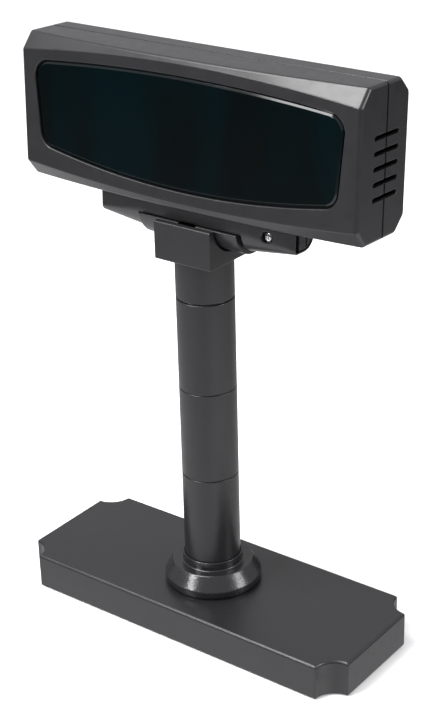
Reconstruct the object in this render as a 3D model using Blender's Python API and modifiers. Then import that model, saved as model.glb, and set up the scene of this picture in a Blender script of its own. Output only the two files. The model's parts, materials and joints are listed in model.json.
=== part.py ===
"""Customer pole display: a display head that tilts and swivels on a three-piece pole and a weighted base.

Blender 4.5, +Z up. The origin is at the centre of the underside, on the pole's axis, and the display
faces -Y. Figures are in millimetres, and the helpers scale them to Blender's metres.
Three groups move: the base with the pole, the neck that swivels on it about Z, and the head that tilts
on the neck about X.
"""
import math

import bmesh
import bpy
from mathutils import Matrix, Vector

MM = 0.001
GAP = 0.3  # between pieces that touch

# Base
BASE_WIDTH = 237.1
BASE_DEPTH = 89.2
BASE_TOP = 23.1
BASE_SKIRT = 0.8  # the cover's lower edge above the table
BASE_WALL = 2.5
BASE_EDGE = 2.0  # rounding of the cover's top edge
SCALLOP_RADIUS = 13.4
BOTTOM_COVER = (2.0, 3.6)  # lowest and highest Z
BALLAST = (3.9, 9.9)
BALLAST_INSET = 6.0
FOOT_RADIUS = 8.0
FOOT_PLACE = (98.0, 24.0)  # X and Y of a foot
BASE_SCREW_PLACE = (80.0, 30.0)
BOSS_RADIUS = 4.0
SOCKET_SIZE = (16.0, 19.0, 13.0)
SOCKET_HOLE = (12.0, 12.0, 8.0)
BOARD_BAY = (24.0, 14.0)  # half width, and the Y where the ballast is cut away behind it

# Flange and pole
FLANGE_HOLE = 20.0  # radius of the hole in the cover
FLANGE_SPIGOT = 19.5  # radius of the part that goes down through it
FLANGE_RIM = 29.6
FLANGE_SHOULDER = 24.2
FLANGE_RIM_TOP = 5.3  # above the cover, like the next two
FLANGE_CONE_TOP = 14.1
FLANGE_STEP = 13.7  # the flat ring between the cone and the collar
COLLAR_RADIUS = 18.4
COLLAR_TOP = 42.3  # its lip stands round the foot of the pole
POLE_FOOT = 40.9
POLE_RADIUS = 17.0
SECTION_HEIGHT = 56.67
SPIGOT_RADIUS = 14.3
SPIGOT_HEIGHT = 8.0
POLE_BORE = 12.2
SWIVEL_SEAM = POLE_FOOT + 3 * SECTION_HEIGHT
SWIVEL_GAP = 1.0
SWIVEL_SPIGOT = 10.5
SWIVEL_SPRING = (219.3, 220.7)  # lowest and highest Z
SWIVEL_NUT = (221.0, 225.0)
SWIVEL_TOP = 226.0
FLANGE_SCREW_CIRCLE = 15.7

# Neck
NECK_HALF_WIDTH = 19.5
NECK_BOTTOM = 235.4
NECK_FRONT = -19.9
NECK_BACK = 22.5
NECK_LIP_FRONT = 258.0
NECK_LIP_BACK = 253.5
SADDLE_RADIUS = 18.4
NECK_BORE = 14.6
CABLE_Y = 9.8  # cable passage behind the hinge axis
CABLE_HOLE = 2.8

# Tilt hinge, in a frame on its axis
HINGE_Y = 1.8
HINGE_Z = 260.3
HEAD_LEAN = math.radians(-2.56)
SHAFT_RADIUS = 3.0
KNUCKLE_RADIUS = 5.2
KNUCKLE_HALF = 5.0
KNUCKLE_SCREW_X = 2.5
KNUCKLE_SCREW_Y = -9.0
BARREL_RADIUS = 17.4
BARREL_WALL = 1.9
BARREL_HALF = 33.9
BAR_BACK = 14.0
BAR_SEAM = -2.8
ARM_START = 35.6
ARM_START_RADIUS = 15.1
ARM_END_RADIUS = 9.6
ARM_END_CORNER = 3.5  # the front of the underside turns from a full round to this corner
ARM_CORE_RADIUS = 11.0
ARM_END = 67.3
PLUG_DEPTH = 4.0  # pocket for the plug in each arm's end
PLUG_RADIUS = 8.5
PLUG_CORNER = 1.5
PLUG_TOP = 3.75
PLUG_FRONT = -4.9  # where the plug's front is cut off, which leaves a slot
PLUG_SLOT = (1.5, 2.7)
LOCK_SCREW_X = 50.9
LOCK_SCREW_Z = -1.6
LOCK_SCREW_DEPTH = 3.0
BAR_SCREW_X = 50.0
BAR_SCREW_Y = 7.75

# Head, in a frame on the middle of its face: X to the right, Y to the back, Z up the face
HEAD_HALF_WIDTH = 113.6
HEAD_HALF_HEIGHT = 41.9
HEAD_DEPTH = 46.6
HINGE_BEHIND_FACE = 22.25
SHELL_SEAM = 25.0
SHELL_WALL = 2.4
HINGE_UNDER_FACE = 47.95  # hinge axis below the face's middle
BACK_HALF_HEIGHT = 33.5
BACK_EDGE = 38.1
FACE_TOP = 39.0
FACE_BOTTOM = -38.0
FACE_BOW = 6.5
FACE_BOW_BELOW = 5.5
BEVEL_DEPTH = 0.8
BEVEL_DEPTH_GAIN = 7.0
WINDOW_TOP = 32.65  # the opening in the face, at its middle
WINDOW_TOP_BOW = 4.8 / 100.0 ** 2
WINDOW_BOTTOM = -31.6
WINDOW_BOTTOM_BOW = 8.6 / 92.0 ** 2
WINDOW_SIDE = 102.6  # half width at the middle height
WINDOW_FLARE = 0.087  # how much wider per millimetre up
WINDOW_CORNER = 10.4
PANE_GAP = 1.1
PANE_CHAMFER = (1.1, 0.7)  # across the pane and behind its front
PANE_FRONT = 0.4
PANE_FLANGE = 1.6  # how far the pane reaches behind the face round the opening
PANE_BACK = 4.7
VENT_COUNT = 5
VENT_TOP = 14.4
VENT_PITCH = 8.15
VENT_HEIGHT = 2.8
VENT_SPAN = (13.4, 37.0)
CASE_SCREW_PLACE = (107.2, 30.0)
BOARD_SCREW_PLACE = (97.0, 27.0)

FINISHES = {
    "charcoal": ((0.05, 0.05, 0.053), 0.5, 0.0),
    "charcoal_smooth": ((0.045, 0.045, 0.047), 0.38, 0.0),
    "smoked": ((0.004, 0.009, 0.011), 0.08, 0.0),
    "tube_glass": ((0.10, 0.14, 0.14), 0.12, 0.0),
    "board": ((0.02, 0.12, 0.06), 0.5, 0.0),
    "chip": ((0.02, 0.02, 0.02), 0.45, 0.0),
    "ferrite": ((0.08, 0.07, 0.06), 0.6, 0.0),
    "nylon": ((0.75, 0.74, 0.70), 0.5, 0.0),
    "steel": ((0.55, 0.55, 0.56), 0.32, 1.0),
    "zinc": ((0.60, 0.61, 0.62), 0.28, 1.0),
    "ballast": ((0.30, 0.30, 0.31), 0.5, 1.0),
    "rubber": ((0.02, 0.02, 0.02), 0.8, 0.0),
    "sleeve": ((0.03, 0.03, 0.035), 0.55, 0.0),
}

# How an upright drawing, its extrusion along +Z, turns to lie along an axis
ALONG = {
    "X": Matrix(((0, 0, 1, 0), (1, 0, 0, 0), (0, 1, 0, 0), (0, 0, 0, 1))),
    "Y": Matrix.Rotation(math.radians(-90), 4, "X"),
    "Z": Matrix.Identity(4),
}
FACING_Y = Matrix.Rotation(math.radians(90), 4, "X")


def clear_scene():
    for obj in list(bpy.data.objects):
        bpy.data.objects.remove(obj, do_unlink=True)


def make_collection(name):
    collection = bpy.data.collections.new(name)
    bpy.context.scene.collection.children.link(collection)
    return collection


def make_finish(name):
    colour, roughness, metallic = FINISHES[name]
    material = bpy.data.materials.new(name)
    material.use_nodes = True
    shader = material.node_tree.nodes["Principled BSDF"]
    shader.inputs["Base Color"].default_value = (*colour, 1.0)
    shader.inputs["Roughness"].default_value = roughness
    shader.inputs["Metallic"].default_value = metallic
    return material


def make_pivot(name, place, parent=None, lean=0.0):
    pivot = bpy.data.objects.new(name, None)
    pivot.location = Vector(place) * MM
    pivot.rotation_euler = (lean, 0.0, 0.0)
    pivot.parent = parent
    CUTTERS.objects.link(pivot)
    return pivot


# Meshes, drawn in millimetres

def to_mesh(bm):
    bmesh.ops.recalc_face_normals(bm, faces=bm.faces)
    bmesh.ops.scale(bm, vec=(MM, MM, MM), verts=bm.verts)
    mesh = bpy.data.meshes.new("shape")
    bm.to_mesh(mesh)
    bm.free()
    return mesh


def box(low, high):
    size = Vector(high) - Vector(low)
    middle = (Vector(high) + Vector(low)) / 2
    bm = bmesh.new()
    bmesh.ops.create_cube(bm, size=1.0, matrix=Matrix.Translation(middle) @ Matrix.Diagonal((*size, 1.0)))
    return to_mesh(bm)


def rod(axis, radius, start, end, centre=(0.0, 0.0), segments=24, far_radius=None):
    """A cylinder or cone along an axis. The centre is its place on the other two axes, in X, Y, Z order."""
    far_radius = radius if far_radius is None else far_radius
    middle = (start + end) / 2
    place = {
        "X": (middle, *centre),
        "Y": (centre[0], middle, centre[1]),
        "Z": (*centre, middle),
    }[axis]
    bm = bmesh.new()
    bmesh.ops.create_cone(
        bm, cap_ends=True, segments=segments, radius1=radius, radius2=far_radius, depth=end - start,
        matrix=Matrix.Translation(place) @ ALONG[axis])
    mesh = to_mesh(bm)
    mesh.shade_smooth()
    mesh.set_sharp_from_angle(angle=math.radians(35))
    return mesh


def plate(points, start, end, turn=None):
    """A flat outline with a thickness, drawn in XY and extruded from start to end along Z, then turned."""
    curve = bpy.data.curves.new("outline", "CURVE")
    curve.dimensions = "2D"
    curve.fill_mode = "BOTH"
    curve.extrude = (end - start) / 2 * MM
    spline = curve.splines.new("POLY")
    spline.points.add(len(points) - 1)
    for place, (x, y) in zip(spline.points, points):
        place.co = (x * MM, y * MM, 0.0, 1.0)
    spline.use_cyclic_u = True
    drawing = bpy.data.objects.new("outline", curve)
    CUTTERS.objects.link(drawing)
    solid = bpy.data.meshes.new_from_object(drawing.evaluated_get(bpy.context.evaluated_depsgraph_get()))
    bpy.data.objects.remove(drawing)
    bm = bmesh.new()
    bm.from_mesh(solid)
    bmesh.ops.remove_doubles(bm, verts=bm.verts, dist=1e-6)
    bmesh.ops.dissolve_limit(bm, angle_limit=math.radians(0.1), verts=bm.verts, edges=bm.edges)
    bmesh.ops.translate(bm, verts=bm.verts, vec=(0.0, 0.0, (start + end) / 2 * MM))
    if turn is not None:
        bmesh.ops.transform(bm, matrix=turn, verts=bm.verts)
    bmesh.ops.recalc_face_normals(bm, faces=bm.faces)
    bm.to_mesh(solid)
    bm.free()
    solid.shade_smooth()
    solid.set_sharp_from_angle(angle=math.radians(30))
    return solid


def loft(rows, closed=True):
    """A skin over rows of points, each row as long as the next. A closed one is a solid with flat ends."""
    bm = bmesh.new()
    rings = [[bm.verts.new(point) for point in row] for row in rows]
    count = len(rings[0])
    for near, far in zip(rings, rings[1:]):
        for i in range(count if closed else count - 1):
            j = (i + 1) % count
            bm.faces.new((near[i], near[j], far[j], far[i]))
    bm.faces.new(rings[0])
    bm.faces.new(rings[-1])
    return to_mesh(bm)


def together(*meshes):
    """Several shapes that stay clear of each other, as one mesh."""
    bm = bmesh.new()
    for mesh in meshes:
        bm.from_mesh(mesh)
    mesh = bpy.data.meshes.new("shapes")
    bm.to_mesh(mesh)
    bm.free()
    return mesh


def arc(radius, start, end, steps, centre=(0.0, 0.0)):
    angles = [math.radians(start + (end - start) * i / steps) for i in range(steps + 1)]
    return [(centre[0] + radius * math.cos(a), centre[1] + radius * math.sin(a)) for a in angles]


# Objects

def add_part(name, mesh, finish, parent=None, place=(0.0, 0.0, 0.0)):
    part = bpy.data.objects.new(name, mesh)
    mesh.name = name
    mesh.materials.clear()
    mesh.materials.append(MATERIALS[finish])
    part.parent = parent
    part.location = Vector(place) * MM
    PARTS.objects.link(part)
    return part


def add_cutter(name, mesh, parent=None):
    cutter = bpy.data.objects.new(name, mesh)
    cutter.display_type = "WIRE"
    cutter.hide_render = True
    cutter.parent = parent
    CUTTERS.objects.link(cutter)
    return cutter


def combine(part, operation, name, mesh):
    tool = add_cutter(f"{part.name}_{name}", mesh, part)
    step = part.modifiers.new(name, "BOOLEAN")
    step.operation = operation
    step.object = tool


def cut(part, name, mesh):
    combine(part, "DIFFERENCE", name, mesh)


def add(part, name, mesh):
    combine(part, "UNION", name, mesh)


def turned(name, profile, finish, parent=None, steps=40, open_ends=False, place=(0.0, 0.0, 0.0)):
    """A turned piece about Z. The profile's (radius, height) points run down its outer side, then back."""
    count = len(profile)
    edges = [(i, i + 1) for i in range(count - 1)]
    if not open_ends:
        edges.append((count - 1, 0))
    mesh = bpy.data.meshes.new(name)
    mesh.from_pydata([(r * MM, 0.0, z * MM) for r, z in profile], edges, [])
    part = add_part(name, mesh, finish, parent, place)
    screw = part.modifiers.new("turn", "SCREW")
    screw.steps = steps
    screw.render_steps = steps
    screw.use_merge_vertices = True
    screw.merge_threshold = 1e-6
    screw.use_smooth_shade = True
    return part


def ring(name, outer, inner, low, high, finish, steps=24):
    return turned(name, [(outer, high), (outer, low), (inner, low), (inner, high)], finish, steps=steps)


def round_edges(part, width, segments, is_rounded):
    """Bevel the edges whose two ends, in millimetres, both pass the test."""
    mesh = part.data
    weights = mesh.attributes.new("bevel_weight_edge", "FLOAT", "EDGE")
    for edge in mesh.edges:
        ends = [mesh.vertices[i].co / MM for i in edge.vertices]
        weights.data[edge.index].value = float(all(is_rounded(end) for end in ends))
    bevel = part.modifiers.new("edge", "BEVEL")
    bevel.limit_method = "WEIGHT"
    bevel.width = width * MM
    bevel.segments = segments


def screw_shape(axis, head_radius, head, shank_radius, shank, centre, segments=10):
    """A screw: a head and a shank, each from a start to an end along the axis, in one mesh with a union."""
    return (rod(axis, head_radius, *head, centre, segments),
            rod(axis, shank_radius, *shank, centre, segments))


def add_screw(name, axis, head_radius, head, shank_radius, shank, centre, finish="steel", parent=None):
    head_mesh, shank_mesh = screw_shape(axis, head_radius, head, shank_radius, shank, centre)
    screw = add_part(name, head_mesh, finish, parent)
    add(screw, "shank", shank_mesh)
    return screw


# Base

def base_outline(inset, steps=6):
    """The rectangle with a quarter circle taken out of each corner, drawn in by an inset."""
    reach = SCALLOP_RADIUS + inset
    spread = math.degrees(math.asin(inset / reach))
    points = []
    for turn, (sx, sy) in enumerate(((1, 1), (-1, 1), (-1, -1), (1, -1))):
        corner = (sx * BASE_WIDTH / 2, sy * BASE_DEPTH / 2)
        points += arc(reach, 270 + 90 * turn - spread, 180 + 90 * turn + spread, steps, corner)
    return points


def four_places(x, y):
    return [(-x, -y), (x, -y), (-x, y), (x, y)]


def build_base():
    cover = add_part("base_cover", plate(base_outline(0.0), BASE_SKIRT, BASE_TOP), "charcoal")
    round_edges(cover, BASE_EDGE, 3, lambda end: end.z > BASE_TOP - 1)
    cut(cover, "inside", plate(base_outline(BASE_WALL), BASE_SKIRT - 1, BASE_TOP - BASE_WALL))
    places = four_places(*BASE_SCREW_PLACE)
    boss_foot = BOTTOM_COVER[1] + GAP
    add(cover, "bosses", together(*[
        rod("Z", BOSS_RADIUS, boss_foot, BASE_TOP - 1, place, 12) for place in places]))
    cut(cover, "pilot_holes", together(*[rod("Z", 1.8, boss_foot - 1, 15, place, 8) for place in places]))
    cut(cover, "flange_hole", rod("Z", FLANGE_HOLE, BASE_TOP - 5, BASE_TOP + 2, segments=32))
    width, depth, height = SOCKET_SIZE
    back = BASE_DEPTH / 2
    board_top = BALLAST[0] + GAP + 1.6
    socket_low = board_top + GAP
    cut(cover, "socket_window", box((-width / 2 + 1, back - 5, socket_low + 1),
                                    (width / 2 - 1, back + 1, socket_low + height - 1)))

    bottom = add_part("bottom_cover", plate(base_outline(BASE_WALL + GAP), *BOTTOM_COVER), "charcoal_smooth")
    cut(bottom, "screw_holes", together(*[
        rod("Z", 3.6, BOTTOM_COVER[0] - 1, BOTTOM_COVER[1] + 1, place, 12) for place in places]))

    ballast = add_part("ballast_plate", plate(base_outline(BALLAST_INSET), *BALLAST), "ballast")
    cut(ballast, "boss_holes", together(*[
        rod("Z", BOSS_RADIUS + 0.6, BALLAST[0] - 1, BALLAST[1] + 1, place, 12) for place in places]))
    bay_half, bay_front = BOARD_BAY
    cut(ballast, "board_bay", box((-bay_half, bay_front, BALLAST[0] - 1), (bay_half, back, BALLAST[1] + 1)))
    flange_places = arc(FLANGE_SCREW_CIRCLE, 150, 390, 2)
    cut(ballast, "flange_screw_holes", together(*[
        rod("Z", 2.0, BALLAST[0] - 1, BALLAST[1] + 1, place, 8) for place in flange_places]))
    cut(ballast, "flange_screw_sinks", together(*[
        rod("Z", 3.8, BALLAST[0] - 1, BALLAST[0] + 2.8, place, 12) for place in flange_places]))

    sides = ("front_left", "front_right", "rear_left", "rear_right")
    for side, place in zip(sides, four_places(*FOOT_PLACE)):
        pad = rod("Z", FOOT_RADIUS, 0.0, BOTTOM_COVER[0] - GAP, place, 20)
        foot = add_part(f"foot_{side}", pad, "rubber")
        round_edges(foot, 0.5, 1, lambda end: end.z < 0.1)
    for number, place in enumerate(places, 1):
        add_screw(f"base_screw_{number}", "Z", 3.2, (BOTTOM_COVER[0], BOTTOM_COVER[1]),
                  1.5, (BOTTOM_COVER[1] - 0.5, 13.0), place)
    for number, place in enumerate(flange_places, 1):
        head_low = BALLAST[0] + GAP
        add_screw(f"flange_screw_{number}", "Z", 3.4, (head_low, head_low + 2.2),
                  1.7, (head_low + 2.0, 19.0), place)

    board = box((-20, BOARD_BAY[1] + 2, BALLAST[0] + GAP), (20, back - BASE_WALL - 1, board_top))
    add_part("interface_board", board, "board")
    socket_back = back - 0.5
    socket = add_part("interface_socket", box((-width / 2, socket_back - depth, socket_low),
                                              (width / 2, back - BASE_WALL - GAP, socket_low + height)), "chip")
    add(socket, "snout", box((-width / 2 + 1.3, back - BASE_WALL - 2, socket_low + 1.3),
                             (width / 2 - 1.3, socket_back, socket_low + height - 1.3)))
    hole_width, hole_depth, hole_height = SOCKET_HOLE
    middle = socket_low + height / 2
    cut(socket, "mouth", box((-hole_width / 2, socket_back - hole_depth, middle - hole_height / 2),
                             (hole_width / 2, socket_back + 1, middle + hole_height / 2)))
    add_part("base_connector", box((-6, 20.2, socket_low), (6, 24.4, socket_low + 5.5)), "nylon")


def build_flange():
    """A cone on a rim, and a collar whose spigot carries the pole."""
    foot = BASE_TOP + GAP
    cone = BASE_TOP + FLANGE_CONE_TOP
    rim = BASE_TOP + FLANGE_RIM_TOP
    low = BALLAST[1] + GAP
    tip = POLE_FOOT + SPIGOT_HEIGHT
    bore = 11.8
    profile = [
        (SPIGOT_RADIUS, tip), (SPIGOT_RADIUS, POLE_FOOT), (POLE_RADIUS + GAP, POLE_FOOT),
        (POLE_RADIUS + GAP, COLLAR_TOP), (COLLAR_RADIUS - 0.5, COLLAR_TOP), (COLLAR_RADIUS, COLLAR_TOP - 0.5),
        (COLLAR_RADIUS, BASE_TOP + FLANGE_STEP), (FLANGE_SHOULDER - 1.2, cone), (FLANGE_SHOULDER, cone - 0.7),
        (FLANGE_SHOULDER + 1.6, cone - 3.8), (FLANGE_RIM - 1.0, rim + 1.4), (FLANGE_RIM, rim),
        (FLANGE_RIM, foot + 1.6), (FLANGE_RIM - 1.2, foot + 0.9), (FLANGE_RIM - 1.2, foot),
        (FLANGE_SPIGOT, foot), (FLANGE_SPIGOT, low), (bore, low), (bore, tip),
    ]
    flange = turned("pole_flange", profile, "charcoal_smooth", steps=44)
    cut(flange, "cable_notch", box((-3.5, 5, BALLAST[1] - 1), (3.5, 22, BALLAST[1] + 7)))
    cut(flange, "screw_holes", together(*[
        rod("Z", 2.0, BALLAST[1] - 1, 20.0, place, 8) for place in arc(FLANGE_SCREW_CIRCLE, 150, 390, 2)]))


def build_pole():
    """Two like sections with a spigot on top, and a third whose spigot carries the neck."""
    for number, name in enumerate(("pole_section_lower", "pole_section_middle")):
        low = POLE_FOOT + number * SECTION_HEIGHT + GAP / 2
        high = low + SECTION_HEIGHT - GAP
        turned(name, [
            (SPIGOT_RADIUS, high + SPIGOT_HEIGHT), (SPIGOT_RADIUS, high), (POLE_RADIUS - 0.2, high),
            (POLE_RADIUS, high - 0.2), (POLE_RADIUS, low + 0.2), (POLE_RADIUS - 0.2, low),
            (SPIGOT_RADIUS + GAP, low), (SPIGOT_RADIUS + GAP, low + SPIGOT_HEIGHT + 1),
            (POLE_BORE, low + SPIGOT_HEIGHT + 1), (POLE_BORE, high + SPIGOT_HEIGHT),
        ], "charcoal")
    low = POLE_FOOT + 2 * SECTION_HEIGHT + GAP / 2
    high = SWIVEL_SEAM - SWIVEL_GAP / 2
    turned("pole_section_upper", [
        (SWIVEL_SPIGOT, SWIVEL_TOP), (SWIVEL_SPIGOT, high), (POLE_RADIUS - 0.4, high),
        (POLE_RADIUS, high - 0.4), (POLE_RADIUS, low + 0.2), (POLE_RADIUS - 0.2, low),
        (SPIGOT_RADIUS + GAP, low), (SPIGOT_RADIUS + GAP, low + SPIGOT_HEIGHT + 1),
        (POLE_BORE, low + SPIGOT_HEIGHT + 1), (POLE_BORE, high - 3), (8.0, high - 3), (8.0, SWIVEL_TOP),
    ], "charcoal")
    bore = SWIVEL_SPIGOT + GAP
    ring("swivel_washer", 16.2, bore, high + GAP, high + SWIVEL_GAP - GAP, "charcoal_smooth", steps=32)
    ring("swivel_spring", 13.6, bore, *SWIVEL_SPRING, "steel", steps=28)
    ring("swivel_nut", 13.4, bore, *SWIVEL_NUT, "steel", steps=28)


def build_harness(name, points, radius, parent=None):
    curve = bpy.data.curves.new(name, "CURVE")
    curve.dimensions = "3D"
    curve.bevel_depth = radius * MM
    curve.bevel_resolution = 2
    curve.use_fill_caps = True
    spline = curve.splines.new("POLY")
    spline.points.add(len(points) - 1)
    for place, point in zip(spline.points, points):
        place.co = (*(Vector(point) * MM), 1.0)
    curve.materials.append(MATERIALS["sleeve"])
    harness = bpy.data.objects.new(name, curve)
    harness.parent = parent
    PARTS.objects.link(harness)


# Neck

def neck_outline():
    """The block's side view, about the hinge axis: Y to the back and Z up."""
    bottom = NECK_BOTTOM - HINGE_Z
    front = NECK_FRONT - HINGE_Y
    back = NECK_BACK - HINGE_Y
    lip_front = NECK_LIP_FRONT - HINGE_Z
    lip_back = NECK_LIP_BACK - HINGE_Z
    start = 180 + math.degrees(math.asin(-lip_front / SADDLE_RADIUS))
    end = 360 - math.degrees(math.asin(-lip_back / SADDLE_RADIUS))
    rear_round = arc(7.0, 0, -90, 5, (back - 7.0, bottom + 7.0))
    saddle = arc(SADDLE_RADIUS, end, start, 18)
    return [(front, bottom), *reversed(rear_round), (back, lip_back), *saddle, (front - 0.2, lip_front)]


def build_neck(swivel, hinge):
    block_mesh = plate(neck_outline(), -NECK_HALF_WIDTH, NECK_HALF_WIDTH, ALONG["X"])
    block_mesh.transform(Matrix.Translation(Vector((0, HINGE_Y, HINGE_Z - SWIVEL_SEAM)) * MM))
    block = add_part("neck_block", block_mesh, "charcoal", swivel)
    round_edges(block, 0.8, 2, lambda end: end.y < NECK_FRONT + 0.5)
    collar_low = SWIVEL_GAP / 2
    collar_top = NECK_BOTTOM - SWIVEL_SEAM
    add(block, "collar", rod("Z", POLE_RADIUS, collar_low, collar_top + 2, segments=48))
    cut(block, "swivel_hole", rod("Z", SWIVEL_SPIGOT + GAP, collar_low - 1, collar_low + 10, segments=32))
    cut(block, "nut_room", rod("Z", NECK_BORE, 219.0 - SWIVEL_SEAM, 233.0 - SWIVEL_SEAM, segments=32))
    floor = HINGE_Z - 19.9 - SWIVEL_SEAM
    cut(block, "knuckle_seat", box((-KNUCKLE_HALF - GAP, HINGE_Y - 12.3, floor),
                                   (KNUCKLE_HALF + GAP, HINGE_Y + KNUCKLE_RADIUS + GAP, floor + 6)))
    screw_y = HINGE_Y + KNUCKLE_SCREW_Y
    below = 232.0 - SWIVEL_SEAM
    cut(block, "round_holes", together(
        rod("Z", CABLE_HOLE, below, floor + 12, (0.0, HINGE_Y + CABLE_Y), 16),
        rod("Z", 1.5, below, floor + 1, (-KNUCKLE_SCREW_X, screw_y), 10),
        rod("Z", 1.5, below, floor + 1, (KNUCKLE_SCREW_X, screw_y), 10)))

    top = arc(KNUCKLE_RADIUS, 0, 180, 12)
    outline = [*top, (-KNUCKLE_RADIUS, -16.6), (-12.0, -16.6), (-12.0, -19.6), (KNUCKLE_RADIUS, -19.6)]
    knuckle = add_part("tilt_knuckle", plate(outline, -KNUCKLE_HALF, KNUCKLE_HALF, ALONG["X"]), "zinc", hinge)
    left, right = (-KNUCKLE_SCREW_X, KNUCKLE_SCREW_Y), (KNUCKLE_SCREW_X, KNUCKLE_SCREW_Y)
    cut(knuckle, "holes", together(
        rod("X", SHAFT_RADIUS + GAP, -8, 8, segments=20),
        rod("Z", 1.5, -22, -14, left, 10), rod("Z", 1.5, -22, -14, right, 10)))
    for side, place in (("left", left), ("right", right)):
        add_screw(f"knuckle_screw_{side}", "Z", 2.1, (-16.3, -14.8), 1.2, (-26.5, -16.0), place, parent=hinge)


# Tilt hinge

def bar_outline(radius, corner, top):
    """The bar's section: an upright front, a corner below it and a round back, held in at the back."""
    under = [*arc(corner, 180, 270, 8, (corner - radius, corner - radius)), *arc(radius, 270, 360, 8)[1:]]
    return [(-radius, top), *[(min(y, BAR_BACK), z) for y, z in under], (min(radius, BAR_BACK), top)]


def arm_size(x):
    """The radius and the front corner of the bar's section."""
    share = max(0.0, (abs(x) - ARM_START) / (ARM_END - ARM_START))
    return (ARM_START_RADIUS + (ARM_END_RADIUS - ARM_START_RADIUS) * share,
            ARM_START_RADIUS + (ARM_END_CORNER - ARM_START_RADIUS) * share)


def barrel_outline(radius, back, top):
    dip = math.degrees(math.asin(-top / radius))
    return [(min(y, back), z) for y, z in arc(radius, 180 + dip, 360 - dip, 14)]


def plug_outline(radius, top, front):
    """The end plug's section: as its pocket's, with the front cut off."""
    return [(front, top), (front, -radius), *arc(radius, 270, 360, 8), (radius, top)]


def lug(start, end):
    """A tongue that hangs from the bar's roof round the shaft."""
    outline = [*arc(6.0, 180, 360, 10), (6.0, 4.5), (-6.0, 4.5)]
    return plate(outline, start, end, ALONG["X"])


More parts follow.
